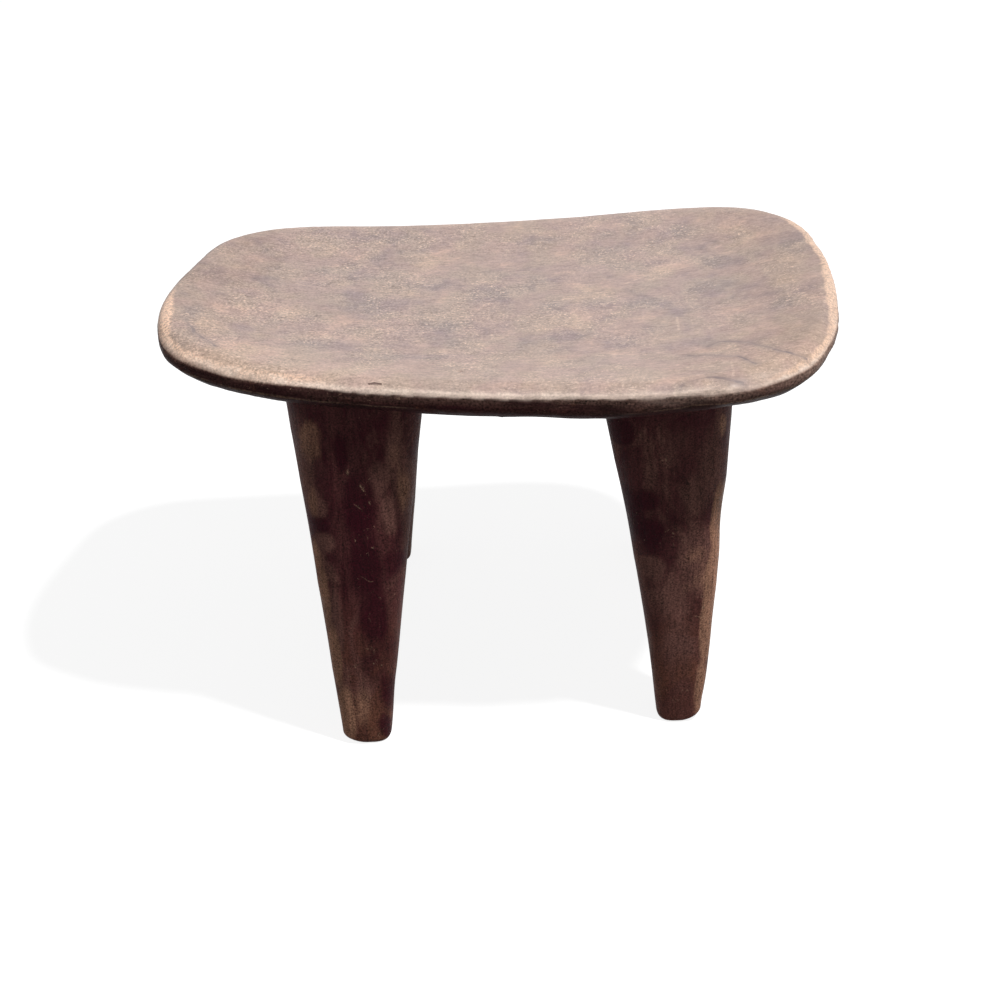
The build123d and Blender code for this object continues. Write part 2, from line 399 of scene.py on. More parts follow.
# Scratches across the legs' fronts
LEG_SCRATCHES = [
    [(-0.118, -0.136, 0.222), (-0.101, -0.133, 0.206)],
    [(-0.117, -0.138, 0.160), (-0.103, -0.1373, 0.1486), (-0.088, -0.131, 0.150)],
    [(-0.112, -0.137, 0.152), (-0.090, -0.131, 0.140)],
    [(0.109, -0.131, 0.127), (0.1189, -0.1316, 0.1215), (0.136, -0.132, 0.122)],
    [(0.142, -0.131, 0.103), (0.150, -0.128, 0.100)],
]
LEG_SCRATCH_WIDTH = 0.0007
MARK_CORE = 0.3           # the share of a mark's width at which it is full

# Zones of the seat: the places along X, and those along Y, between which each comes in
LEFT_END = ((-0.195, -0.225), (0.014, 0.000))
RIGHT_END = ((0.175, 0.205), (0.125, 0.10))
LEFT_FRONT = ((-0.11, -0.15), (-0.06, -0.09))
RIGHT_FRONT = ((0.08, 0.15), (-0.06, -0.11))
LEFT_BACK = ((-0.15, -0.20), (0.012, 0.025))
DARK_EDGE_BACK = ((-0.10, -0.19), (0.0, 0.03))
# Looks that change along the seat, as a sum of soft steps: from and to where, and from and to how much
FRONT_PALENESS = [(-0.18, 0.0, 1.0, 0.25), (0.13, 0.18, 0.0, 0.35)]
# How strongly the front lip's worn edge and painted highlight show along the seat
LIP_PALENESS = [
    (-0.14, -0.07, 0.80, 0.85), (0.02, 0.12, 0.0, -0.35),
    (0.175, 0.195, 0.0, 0.45), (0.215, 0.235, 0.0, -0.6),
]
LIP_TURN = [(-0.08, -0.14, 0.0, 0.01), (0.12, 0.18, 0.0, 0.12)]
TOP_REACH = [(-0.09, -0.19, 0.03, -0.12), (0.14, 0.19, 0.0, -0.14)]
FRONT_REACH = [(-0.10, -0.15, 0.0, -0.22), (0.08, 0.11, 0.0, 0.11), (0.165, 0.20, 0.0, -0.26)]
# The same from front to back: how wide the bands worn at the ends are
LEFT_BAND_WIDTH = [(0.012, -0.035, 0.0050, 0.0112), (-0.045, -0.09, 0.0, -0.0050)]
RIGHT_BAND_WIDTH = [(-0.05, -0.10, 0.0084, 0.0046)]
# How far the wood's noises shift the bands' inner edges, the lip and the top's own boundary
BAND_RAGGEDNESS = 0.008
LIP_RAGGEDNESS = 0.2
TOP_RAGGEDNESS = 0.4
# How far the darker edge at the back left brings the sides' colour up onto the top
DARK_EDGE_REACH = 0.45
# The pale line along the rim's lower edge, rubbed wood with a painted edge highlight: its height, and where
# along the seat it is faint
ARRIS_HEIGHT = 0.0072
FAINT_ARRIS = 0.02

# The woods' soft looks: the value that each follows, from where to where, and from how much to how much
SEAT_LOOKS = {
    "greyed": ("tone", 0.475, 0.665),
    "tanned": ("tone", 0.485, 0.320, 0, 0.85),
    "towards_front": ("y", -0.06, -0.14),
    "tinted": ("tints", 0.38, 0.62),
    "near_end": ("off_middle", 0.13, 0.23),
    "curled": ("off_curl", 0.040, 0.008),
    "curl_gritty": ("grit", 0.40, 0.58),
    "flecked": ("clusters", 0.40, 0.62, 0.15, 1.0),
    "speckled": ("speckle", 0.36, 0.56, 0.50, 1.0),
    "left_band": ("past_left", 0.0018, -0.0018),
    "left_band_forward": ("y", 0.012, -0.030, 0.60, 1.0),
    "right_band": ("past_right", 0.0015, -0.0015),
    "worn_corner": ("ragged", 0.0095, 0.0060, 0, 0.65),
    "lip": ("turned", 0.90, 0.76),
    "lip_forward": ("y", -0.06, -0.10),
    "lip_smudged": ("smudges", 0.38, 0.62, 1.0, 0.6),
    "back_lip": ("inside", 0.022, 0.006),
    "back_lip_behind": ("y", 0.10, 0.13),
    "back_lip_along": ("x", -0.05, 0.05, 0.42, 0.22),
    "darker_back_edge": ("inside", 0.0050, 0.0018, 0, 0.8),
    "darker_end_edge": ("inside", 0.0045, 0.0015, 0, 0.52),
    # Painted shade: the top darker towards its right end
    "shaded_right": ("x", 0.10, 0.25, 1.0, 0.90),
    "coarse_clustered": ("clusters", 0.35, 0.65, 0.6, 1.2),
    "coarse_left": ("x", 0.10, -0.16, 0.55, 1.15),
    "ring_smudged": ("smudges", 0.40, 0.60, 0.55, 1.0),
    "scratch_fibrous": ("fibres", 0.4, 0.58, 0.05, 0.7),
    "blackened": ("streaks", 0.42, 0.62),
    "browned": ("smudges", 0.56, 0.70, 0, 0.5),
    "nicked": ("nicks", 0.62, 0.68, 0, 0.9),
    "nick_clustered": ("clusters", 0.46, 0.58),
    "shoulder": ("above", 0.009, 0.018),
    "shoulder_streaked": ("streaks", 0.40, 0.58, 0.55, 0.12),
    # Painted light with rubbing: the side browner and paler to the right, where it faces the lamp
    "rubbed_and_lit": ("x", 0.03, 0.17),
    "rubbed_and_lit_above": ("above", 0.002, 0.017, 0.25, 0.80),
    "rubbed_and_lit_streaked": ("streaks", 0.40, 0.60, 1.0, 0.55),
    "pale_end": ("x", 0.185, 0.235),
    "shaded_lower_edge": ("above", 0.0090, 0.0060, 0, 0.75),
    "arris": ("off_arris", 0.0012, 0.0004),
    "arris_smudged": ("smudges", 0.44, 0.60, 0.35, 0.05),
    "arris_along": ("off_faint", 0.06, 0.09, 0.15, 1.0),
    "reach_forward": ("y", -0.04, -0.09),
    "upper": ("facing", 0.06, 0.50),
    "top_gloss": ("right_front", 0.0, 1.0, 0.36, 0.14),
    "roughness": ("smudges", 0.3, 0.7, 0.34, 0.50),
}
LEG_LOOKS = {
    "blackened": ("streaks", 0.44, 0.64, 0, 0.8),
    "clouded": ("clouds", 0.47, 0.66, 0, 0.85),
    "brown_clouded": ("clouds", 0.42, 0.62, 0, 0.7),
    "towards_foot": ("z", 0.16, 0.02, 0, 0.85),
    "paled": ("pale", 0.15, 0.90, 0, 0.85),
    "rubbed_and_lit": ("rubbed_and_lit", 0.3, 0.9, 0, 0.9),
    "darkened": ("dark", 0.20, 0.85, 0, 0.9),
    "nicked": ("flecks", 0.61, 0.67, 0, 0.6),
    "nick_clustered": ("clusters", 0.50, 0.62),
    "scratch_flecked": ("flecks", 0.4, 0.55, 0.05, 0.35),
    "roughness": ("clouds", 0.3, 0.7, 0.45, 0.60),
}
# What the top's tone is made of, and how strong the pale flecks in its curls are
TONE_SHARES = {"clouds": 0.52, "smudges": 0.48, "greyed": 0.125}
FLECK_SHARE = 0.8
# How strongly the noises lighten and darken the colours
TOP_CONTRAST = {"grain": 0.21, "fibres": 0.43, "coarse": 0.31}
SIDE_CONTRAST = {"streaks": 1.3, "speckle": 1.2}
LEG_CONTRAST = {"grain": 0.85, "grit": 1.25, "streaks": 0.5}
# How much the noises and the marks raise the surface, or sink it, and how deep that relief is
SEAT_RELIEF = {"grain": 0.4, "fibres": 0.3, "curl": -0.15, "scratches": -0.3, "rings": -0.2, "splits": -2.0}
SIDE_RELIEF = 1.5
LEG_RELIEF = {"grain": 0.6, "flecks": 0.5}
SEAT_BUMP = 0.0006
LEG_BUMP = 0.0012
BUMP_STRENGTH = 0.8
SIDE_GLOSS = 0.02
LEG_GLOSS = 0.05


def read_rows(items, what):
    """Three numbers for each of a mesh's items, such as its vertices' places, as an array of rows."""
    values = np.zeros(len(items) * 3, np.float32)
    items.foreach_get(what, values)
    return values.reshape(-1, 3).astype(float)


def write_points(mesh, points):
    mesh.vertices.foreach_set("co", points.astype(np.float32).ravel())
    mesh.update()


def write_value(mesh, name, values):
    """Stores one number a vertex, for the material to read."""
    attribute = mesh.attributes.new(name, "FLOAT", "POINT")
    attribute.data.foreach_set("value", values.astype(np.float32))


def new_object(name, data):
    piece = bpy.data.objects.new(name, data)
    bpy.context.scene.collection.objects.link(piece)
    return piece


def smooth_step(low, high, values):
    share = np.clip((values - low) / (high - low), 0, 1)
    return share * share * (3 - 2 * share)


def between(start, end, share):
    return start + (end - start) * share


def noise_at(points, scale, offset):
    """Perlin noise, about -1 to 1, at each point. The scale's three numbers stretch it."""
    places = points * scale + offset
    return np.array([noise.noise(Vector(place)) for place in places])


def waves_at(points, waves, seed=0.0):
    """The height of an uneven surface at each point, as a sum of noises."""
    return sum(height * noise_at(points, scale, seed + offset) for height, scale, offset in waves)


def scoops_at(points, scoops, seed=0.0):
    """The height of a surface of shallow hollows side by side, with ridges between them."""
    depth, middle, scale, offset = scoops
    places = points * scale + (seed + offset)
    nearest = np.array([noise.voronoi(Vector(place))[0][0] for place in places])
    return depth * np.clip(nearest, 0, 1) ** 2 - middle


def bites_at(points, bites):
    """How deep the surface is bitten at each point, where a noise is high."""
    depth, span, scale, offset = bites
    return depth * smooth_step(*span, noise_at(points, scale, offset))


def hollows_at(points, hollows):
    """How deep some small round dents reach at each point."""
    total = np.zeros(len(points))
    for centre, radius, depth, lengthen in hollows:
        away = np.linalg.norm((points - centre) / lengthen, axis=1) / radius
        total += depth * (1 - smooth_step(0, 1, away))
    return total


def ovals_at(points, patches, second_axis):
    """How far each point lies in soft oval patches, given as places along X and one more axis."""
    strength = np.zeros(len(points))
    for first, second, half_first, half_second, amount in patches:
        across = (points[:, 0] - first) / half_first
        along = (points[:, second_axis] - second) / half_second
        inside = 1 - smooth_step(*PATCH_FADE, np.hypot(across, along))
        strength = np.maximum(strength, amount * inside)
    return strength


def underside_height(x):
    """The height of the seat's sagging underside at a place along it."""
    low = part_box("seat")[0].z
    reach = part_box("seat")[1].x
    radius = (reach ** 2 + END_RISE ** 2) / (2 * END_RISE)
    return low + radius - np.sqrt(radius ** 2 - x ** 2)


def remeshed(name, source, smoothing):
    """A fine, even mesh in the shape of another."""
    rough = new_object(name + "_rough", source)
    remesh = rough.modifiers.new("remesh", "REMESH")
    remesh.mode = "VOXEL"
    remesh.voxel_size = SEAT_VOXEL
    if smoothing:
        soften = rough.modifiers.new("soften", "SMOOTH")
        soften.factor = SMOOTHING_SHARE
        soften.iterations = smoothing
    depsgraph = bpy.context.evaluated_depsgraph_get()
    mesh = bpy.data.meshes.new_from_object(rough.evaluated_get(depsgraph))
    mesh.name = name
    mesh.materials.clear()
    bpy.data.objects.remove(rough)
    mesh.polygons.foreach_set("use_smooth", np.ones(len(mesh.polygons), bool))
    return mesh


def distance_inside(points, normals):
    """How far each point is from the seat's outline, seen from above."""
    wall = points[np.abs(normals[:, 2]) < WALL_TILT]
    tree = kdtree.KDTree(len(wall))
    for index, (x, y, _) in enumerate(wall):
        tree.insert((x, y, 0), index)
    tree.balance()
    return np.array([tree.find((x, y, 0))[2] for x, y, _ in points])


def roll_over(mesh):
    """Wears the rim down: the top falls ever more steeply to the outline, most at the front corners."""
    points = read_rows(mesh.vertices, "co")
    inside = distance_inside(points, read_rows(mesh.vertex_normals, "vector"))
    front = smooth_step(*FRONT_ROLL_START, -points[:, 1])
    corner = front * smooth_step(*CORNER_ROLL_START, np.abs(points[:, 0]))
    width = between(ROLL_WIDTH, FRONT_ROLL_WIDTH, front)
    width += (CORNER_ROLL_WIDTH - FRONT_ROLL_WIDTH) * corner
    height = between(ROLL_HEIGHT, FRONT_ROLL_HEIGHT, front)
    height += (CORNER_ROLL_HEIGHT - FRONT_ROLL_HEIGHT) * corner
    share = np.clip(1 - inside / width, 0, 1)
    fall = height * share ** ROLL_POWER
    crest = underside_height(points[:, 0]) + RIM_THICKNESS
    points[:, 2] = np.minimum(points[:, 2], crest - fall)
    write_points(mesh, points)


def draw_out(points, above):
    """Draws the outline and the rim away from the solid's even curve, as the hand did."""
    for x, y, reach, shift_x, shift_y in OUTLINE_SWELLS:
        away = np.hypot(points[:, 0] - x, points[:, 1] - y) / reach
        share = 1 - smooth_step(*SWELL_FADE, away)
        points[:, 0] += shift_x * share
        points[:, 1] += shift_y * share
    low_front = smooth_step(*SAG_FRONT, -points[:, 1]) * (1 - smooth_step(*SAG_HEIGHT, above))
    for x, reach, amount in RIM_SAGS:
        away = np.abs(points[:, 0] - x) / reach
        points[:, 2] -= amount * low_front * (1 - smooth_step(*SAG_FADE, away))
    x, reach, amount = BACK_LIP_RISE
    high_back = smooth_step(*BACK_LIP_START, points[:, 1]) * smooth_step(*BACK_LIP_HEIGHT, above)
    away = np.abs(points[:, 0] - x) / reach
    points[:, 2] += amount * high_back * (1 - smooth_step(*BACK_LIP_FADE, away))


def seat_relief(points, normals, above):
    """How far hand work and use raise the seat's surface at each point, or sink it."""
    up = smooth_step(*FACING, normals[:, 2])
    down = smooth_step(*FACING, -normals[:, 2])
    side = 1 - up - down
    rise = waves_at(points, TOP_WAVES) * up
    rise += scoops_at(points, UNDERSIDE_SCOOPS) * down
    rise += waves_at(points, UNDERSIDE_WAVES) * down
    rise += waves_at(points, SIDE_WAVES) * side
    rise -= bites_at(points, SIDE_BITES) * side
    edge = side * (1 - smooth_step(*EDGE_HEIGHT, above))
    rise -= bites_at(points, EDGE_CHIPS) * edge
    return rise - hollows_at(points, SEAT_DENTS)


def make_seat():
    """The seat: hand-cut surfaces, a worn rim, and the small knocks of long use."""
    rough = remeshed("seat_rough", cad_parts["seat"].data.copy(), 0)
    roll_over(rough)
    mesh = remeshed("stool_seat", rough, SEAT_SMOOTHING)
    points = read_rows(mesh.vertices, "co")
    normals = read_rows(mesh.vertex_normals, "vector")
    inside = distance_inside(points, normals)
    above = points[:, 2] - underside_height(points[:, 0])
    points += normals * seat_relief(points, normals, above)[:, None]
    draw_out(points, above)
    write_points(mesh, np.clip(points, cad_box[0], cad_box[1]))
    write_value(mesh, "inside", inside)
    write_value(mesh, "facing_up", normals[:, 2])
    write_value(mesh, "above_edge", above)
    write_value(mesh, "greyed", ovals_at(points, GREY_PATCHES, 1) - ovals_at(points, TAN_PATCHES, 1))
    return new_object("stool_seat", mesh)


def leg_ends(node):
    """The middle and the half sizes of a leg's foot and of its end at the seat."""
    points = read_rows(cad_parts[node].data.vertices, "co")
    foot = points[points[:, 2] < FOOT_SLAB]
    end = points[points[:, 2] > points[:, 2].max() - ROOT_SLAB]
    found = []
    for slab in (foot, end):
        low, high = slab.min(0), slab.max(0)
        found.append(((low + high) / 2, (high - low) / 2))
    return found


def soft_square(angles, half, squareness):
    """How far a square with soft corners reaches from its middle, at each angle."""
    across = np.abs(np.cos(angles) / half[0]) ** squareness
    along = np.abs(np.sin(angles) / half[1]) ** squareness
    return (across + along) ** (-1 / squareness)


def leg_rings(top):
    """A leg's rings, from the middle of its sole to its root: height, share of the width, and inset."""
    rings = [(0.0, share, SOLE_ROUNDING) for share in np.linspace(SOLE_MIDDLE, 1, SOLE_RINGS)]
    for turn in np.linspace(0, math.pi / 2, SOLE_EDGE_RINGS)[1:]:
        height = SOLE_ROUNDING * (1 - math.cos(turn))
        inset = SOLE_ROUNDING * (1 - math.sin(turn))
        rings.append((height, 1.0, inset))
    for height in np.linspace(SOLE_ROUNDING, top + ROOT_OVERRUN, RINGS_ALONG)[1:]:
        rings.append((height, 1.0, 0.0))
    return rings


def ring_points(node, ends, ring):
    """The points of one level ring of a leg."""
    (foot, foot_half), (end, end_half) = ends
    height, share, inset = ring
    along = height / end[2]
    middle = between(foot[:2], end[:2], along)
    middle[0] += FOOT_SHIFT.get(node, 0.0) * max(0.0, 1 - height / FOOT_SHIFT_HEIGHT)
    half = between(foot_half[:2], end_half[:2], along)
    angles = np.linspace(0, 2 * math.pi, POINTS_ROUND, endpoint=False)
    across = np.cos(angles)
    squareness = between(SQUARENESS_FOOT, SQUARENESS_TOP, along)
    reach = (soft_square(angles, half, squareness) - inset) * share
    halfway = 4 * along * max(0.0, 1 - along)
    near_root = max(0.0, 1 - (end[2] - height) / ROOT_REACH) ** ROOT_POWER
    spread = np.where(across < 0, *ROOT_SPREAD[node]) * near_root
    spread += np.where(across < 0, *BELLY[node]) * halfway
    spread *= np.abs(across)
    x = middle[0] + (reach + spread * share) * across
    y = middle[1] + reach * np.sin(angles)
    return np.stack([x, y, np.full(POINTS_ROUND, height)], 1)


def leg_faces(count):
    """The faces between a leg's rings, and one at each end."""
    faces = []
    for ring in range(count - 1):
        low = ring * POINTS_ROUND
        high = low + POINTS_ROUND
        for step in range(POINTS_ROUND):
            ahead = (step + 1) % POINTS_ROUND
            faces.append((low + step, low + ahead, high + ahead, high + step))
    faces.append(tuple(reversed(range(POINTS_ROUND))))
    faces.append(tuple(range((count - 1) * POINTS_ROUND, count * POINTS_ROUND)))
    return faces


def make_leg(node):
    """A leg: level rings from the sole up into the seat, soft-cornered, spread at the root, hand-hewn."""
    ends = leg_ends(node)
    rings = leg_rings(ends[1][0][2])
    points = np.concatenate([ring_points(node, ends, ring) for ring in rings])
    middles = points.reshape(len(rings), POINTS_ROUND, 3).mean(1).repeat(POINTS_ROUND, 0)

    if node in FOOT_WEAR:
        x, y, reach, rise = FOOT_WEAR[node]
        away = np.hypot(points[:, 0] - x, points[:, 1] - y) / reach
        low = 1 - smooth_step(0, FOOT_WEAR_HEIGHT, points[:, 2])
        points[:, 2] += rise * (1 - smooth_step(0, 1, away)) * low

    # Each ring stops just inside the seat
    ceiling = underside_height(points[:, 0]) + ROOT_DEPTH
    points[:, 2] = np.minimum(points[:, 2], ceiling)

    outward = points - middles
    outward[:, 2] = 0
    outward /= np.maximum(np.linalg.norm(outward, axis=1), 1e-6)[:, None]
    seed = 10.0 * LEGS.index(node)
    rise = waves_at(points, LEG_WAVES, seed) + scoops_at(points, LEG_SCOOPS, seed)
    rise -= hollows_at(points, LEG_FLATS.get(node, []))
    rise *= smooth_step(0, SOLE_FLAT, points[:, 2])
    points += outward * rise[:, None]

    mesh = bpy.data.meshes.new("stool_" + node)
    mesh.from_pydata([tuple(point) for point in points], [], leg_faces(len(rings)))
    mesh.polygons.foreach_set("use_smooth", np.ones(len(mesh.polygons), bool))
    mesh.update()
    on_front = smooth_step(*LEG_FRONT_FADE, -points[:, 1] - LEG_FRONT)
    for name, patches in LEG_PATCHES.items():
        write_value(mesh, name, ovals_at(points, patches.get(node, []), 2) * on_front)
    return new_object("stool_" + node, mesh)


class Nodes:
    """A short way to write the nodes of a material or of the surroundings."""

    def __init__(self, owner):
        self.owner = owner
        owner.use_nodes = True
        self.tree = owner.node_tree
        self.tree.nodes.clear()

    def add(self, kind, inputs=None, **settings):
        node = self.tree.nodes.new(kind)
        for key, value in settings.items():
            setattr(node, key, value)
        for key, value in (inputs or {}).items():
            if isinstance(value, bpy.types.NodeSocket):
                self.tree.links.new(value, node.inputs[key])
            else:
                node.inputs[key].default_value = value
        return node

    def math(self, operation, first, second=0.0):
        return self.add("ShaderNodeMath", {0: first, 1: second}, operation=operation).outputs[0]

    def plus(self, first, *others):
        for other in others:
            first = self.math("ADD", first, other)
        return first

    def times(self, first, *others):
        for other in others:
            first = self.math("MULTIPLY", first, other)
        return first

    def minus(self, first, second):
        return self.math("SUBTRACT", first, second)

    def greater(self, first, second):
        return self.math("MAXIMUM", first, second)

    def away_from(self, value, middle):
        """How far a value is from a middle one, on either side."""
        return self.math("ABSOLUTE", self.minus(value, middle))

    def swing(self, wave, amount):
        """A noise as a swing about 0."""
        return self.times(self.minus(wave, NOISE_MIDDLE), amount)

    def vector(self, operation, first, second, output=0):
        vectors = {0: first, 1: second}
        return self.add("ShaderNodeVectorMath", vectors, operation=operation).outputs[output]

    def scaled(self, colour, factor):
        inputs = {0: colour, "Scale": factor}
        return self.add("ShaderNodeVectorMath", inputs, operation="SCALE").outputs[0]

    def ease(self, value, low, high, to_low=0.0, to_high=1.0):
        """A soft step of a value between two others."""
        inputs = {0: value, 1: low, 2: high, 3: to_low, 4: to_high}
        return self.add("ShaderNodeMapRange", inputs, interpolation_type="SMOOTHSTEP").outputs[0]

    def eases(self, value, steps):
        """The sum of some soft steps."""
        return self.plus(*(self.ease(value, *step) for step in steps))

    def mix(self, share, first, second):
        """A colour between two others, each a node's output or three numbers."""
        first, second = ((*value, 1) if isinstance(value, tuple) else value for value in (first, second))
        inputs = {0: share, 6: first, 7: second}
        return self.add("ShaderNodeMix", inputs, data_type="RGBA").outputs[2]


class Wood(Nodes):
    """The nodes of a wood: the place on the piece, its noises by their names, and its soft looks."""

    def __init__(self, name, noises, grain, sway, looks):
        super().__init__(bpy.data.materials.new(name))
        self.looks = looks
        self.place = self.add("ShaderNodeTexCoord").outputs["Object"]
        self.x, self.y, self.z = self.add("ShaderNodeSeparateXYZ", {0: self.place}).outputs
        for place, table in ((self.place, noises), (self.swayed(*sway), grain)):
            for noise_name, settings in table.items():
                setattr(self, noise_name, self.noise(place, *settings))

    def noise(self, place, finer, scale, detail, roughness, distortion):
        inputs = {
            "Vector": self.vector("MULTIPLY", place, finer),
            "Scale": scale,
            "Detail": detail,
            "Roughness": roughness,
            "Distortion": distortion,
        }
        return self.add("ShaderNodeTexNoise", inputs).outputs["Fac"]

    def swayed(self, scale, amount):
        """The place on the piece, moved a little to and fro, so that the grain wanders."""
        inputs = {"Vector": self.place, "Scale": scale, "Detail": SWAY_LAYERS}
        sway = self.add("ShaderNodeTexNoise", inputs).outputs["Color"]
        sway = self.vector("SUBTRACT", sway, (NOISE_MIDDLE,) * 3)
        sway = self.vector("MULTIPLY", sway, amount)
        return self.vector("ADD", self.place, sway)

    def stored(self, name):
        return self.add("ShaderNodeAttribute", attribute_name=name).outputs["Fac"]

    def look(self, name):
        """How strong a look is, from its row in the table of looks."""
        follows, *steps = self.looks[name]
        return self.ease(getattr(self, follows), *steps)

    def zone(self, spans):
        """1 in a zone of the seat, 0 away from it."""
        along, across = spans
        return self.times(self.ease(self.x, *along), self.ease(self.y, *across))

    def weighed(self, shares):
        """The sum of some of the wood's values, each times its own share."""
        return self.plus(*(self.times(getattr(self, name), share) for name, share in shares.items()))

    def grained(self, colour, contrast):
        """A colour, lightened and darkened by some of the wood's noises, each by its own amount."""
        total = 1.0
        for name, amount in contrast.items():
            total = self.plus(self.swing(getattr(self, name), 2 * amount), total)
        return self.scaled(colour, self.greater(total, DARKEST))

    def line_mark(self, place, start, end, width):
        """1 on a thin straight mark from start to end, 0 away from it."""
        along = Vector(end) - Vector(start)
        from_start = self.vector("SUBTRACT", place, tuple(start))
        share = self.vector("DOT_PRODUCT", from_start, tuple(along / along.length_squared), "Value")
        share = self.add("ShaderNodeClamp", {0: share}).outputs[0]
        nearest = self.scaled(tuple(along), share)
        away = self.vector("DISTANCE", from_start, nearest, "Value")
        return self.ease(away, width, MARK_CORE * width)

    def marks(self, place, chains, width):
        """Thin marks along chains of places. Chains of two numbers a place are drawn as seen from above."""
        total = 0.0
        for chain in chains:
            flat = len(chain[0]) == 2
            where = self.vector("MULTIPLY", place, (1, 1, 0)) if flat else place
            ends = [(*end, 0) for end in chain] if flat else chain
            for start, end in zip(ends, ends[1:]):
                total = self.greater(total, self.line_mark(where, start, end, width))
        return total

    def finish(self, colour, gloss, relief, depth):
        """The finished material, with its relief as a bump."""
        inputs = {"Height": relief, "Distance": depth, "Strength": BUMP_STRENGTH}
        bump = self.add("ShaderNodeBump", inputs)
        inputs = {
            "Base Color": colour,
            "Roughness": self.look("roughness"),
            "Normal": bump.outputs[0],
            "Specular IOR Level": gloss,
        }
        shader = self.add("ShaderNodeBsdfPrincipled", inputs)
        self.add("ShaderNodeOutputMaterial", {"Surface": shader.outputs[0]})
        return self.owner


def top_colour(n):
    """The top: greyed by handling in soft patches, tan between them, and paler towards the sitter."""
    n.greyed = n.stored("greyed")
    n.tone = n.weighed(TONE_SHARES)
    colour = n.mix(n.look("greyed"), TOP_MIDDLE, TOP_GREY)
    colour = n.mix(n.look("tanned"), colour, TOP_TAN)
    front = n.times(n.look("towards_front"), n.eases(n.x, FRONT_PALENESS))
    colour = n.mix(front, colour, TOP_FRONT)
    tint = n.mix(n.look("tinted"), TOP_PINKISH, TOP_YELLOWISH)
    colour = n.vector("MULTIPLY", colour, tint)
    colour = n.mix(n.times(n.curl, FLECK_SHARE), colour, TOP_FLECK)
    n.off_middle = n.away_from(n.x, 0.0)
    return n.mix(n.look("near_end"), colour, n.vector("MULTIPLY", colour, END_WARMTH))


def worn_bare(n, colour):
    """The top's colour, with its bands worn at both ends, and its front left corner."""
    n.ragged = n.plus(n.inside, n.swing(n.smudges, BAND_RAGGEDNESS))
    n.past_left = n.minus(n.ragged, n.eases(n.y, LEFT_BAND_WIDTH))
    n.past_right = n.minus(n.ragged, n.eases(n.y, RIGHT_BAND_WIDTH))
    speckled = n.look("speckled")
    left = n.times(n.left_end, n.look("left_band"), speckled, n.look("left_band_forward"))
    colour = n.mix(left, colour, WORN_LEFT)
    right = n.times(n.zone(RIGHT_END), n.look("right_band"), speckled)
    colour = n.mix(right, colour, TOP_WORN)
    corner = n.times(n.zone(LEFT_FRONT), n.look("worn_corner"), speckled)
    return n.mix(corner, colour, WORN_LEFT)


def with_lips(n, colour):
    """The top's colour, with its pale front lip of worn edge and painted highlight, its tan back lip and
    the darker outer edges at its left end, darkened towards its right end as painted shade.
    """
    n.turned = n.plus(n.facing_up, n.swing(n.smudges, LIP_RAGGEDNESS), n.eases(n.x, LIP_TURN))
    # Painted highlight, with a worn edge: the pale line along the front lip, where the rim turns down.
    lip = n.times(n.look("lip"), n.look("lip_forward"), n.eases(n.x, LIP_PALENESS))
    colour = n.mix(n.times(lip, n.look("lip_smudged")), colour, WORN_LIP_HIGHLIGHT)
    back_lip = n.times(n.look("back_lip"), n.look("back_lip_behind"), n.look("back_lip_along"))
    colour = n.mix(back_lip, colour, TOP_TAN)
    darker_edge = n.times(n.zone(LEFT_BACK), n.look("darker_back_edge"))
    darker_edge = n.greater(darker_edge, n.times(n.left_end, n.look("darker_end_edge")))
    colour = n.mix(darker_edge, colour, SIDE_BROWN)
    # Painted shade: the top darkened towards its right end, whose rise turns away from the lamp.
    return n.scaled(colour, n.look("shaded_right"))


def with_marks(n, colour):
    """The top's colour, with its grain, its growth rings, its scratches, a split with a painted highlight
    along it, and a worm hole.
    """
    coarse = n.minus(n.plus(n.grit, n.speckle), 2 * NOISE_MIDDLE)
    coarse = n.times(coarse, n.times(n.look("coarse_clustered"), n.look("coarse_left")))
    n.coarse = n.plus(coarse, NOISE_MIDDLE)
    colour = n.grained(colour, TOP_CONTRAST)
    colour = n.mix(n.rings, colour, n.scaled(TOP_GREY, RING_TONE))
    colour = n.mix(n.times(n.scratches, SCRATCH_SHARE), colour, TOP_FLECK)
    return n.mix(n.times(n.splits, SPLIT_SHARE), colour, SIDE_DARK)


def side_colour(n):
    """The sides and the underside: nearly black, rubbed brown to the right and painted lighter there where
    the side faces the lamp, painted dark as shade on the downward lower edge, with a pale line along that
    edge of rubbed wood and painted highlight.
    """
    colour = n.mix(n.look("blackened"), SIDE_DARK, SIDE_BLACK)
    colour = n.mix(n.look("browned"), colour, LEG_BROWN)
    colour = n.mix(n.times(n.look("nicked"), n.look("nick_clustered")), colour, WOOD_TAN)
    colour = n.mix(n.times(n.look("shoulder"), n.look("shoulder_streaked")), colour, SIDE_BROWN)
    # Rubbed brown to the right, with painted light there too, where the side faces the lamp.
    rubbed_and_lit = n.times(n.look("rubbed_and_lit"), n.look("rubbed_and_lit_above"), n.look("rubbed_and_lit_streaked"))
    colour = n.mix(rubbed_and_lit, colour, n.mix(n.look("pale_end"), SIDE_BROWN, SIDE_PALE))
    # Painted shade: the lower edge, which faces down, darkened nearly to black.
    colour = n.mix(n.look("shaded_lower_edge"), colour, SIDE_BLACK)
    n.off_arris = n.away_from(n.above, ARRIS_HEIGHT)
    n.off_faint = n.away_from(n.x, FAINT_ARRIS)
    # A pale line along the rim's lower edge: rubbed wood with a painted edge highlight.
    arris = n.times(n.look("arris"), n.look("arris_smudged"), n.look("arris_along"))
    colour = n.mix(arris, colour, WOOD_TAN)
    return n.grained(colour, SIDE_CONTRAST)


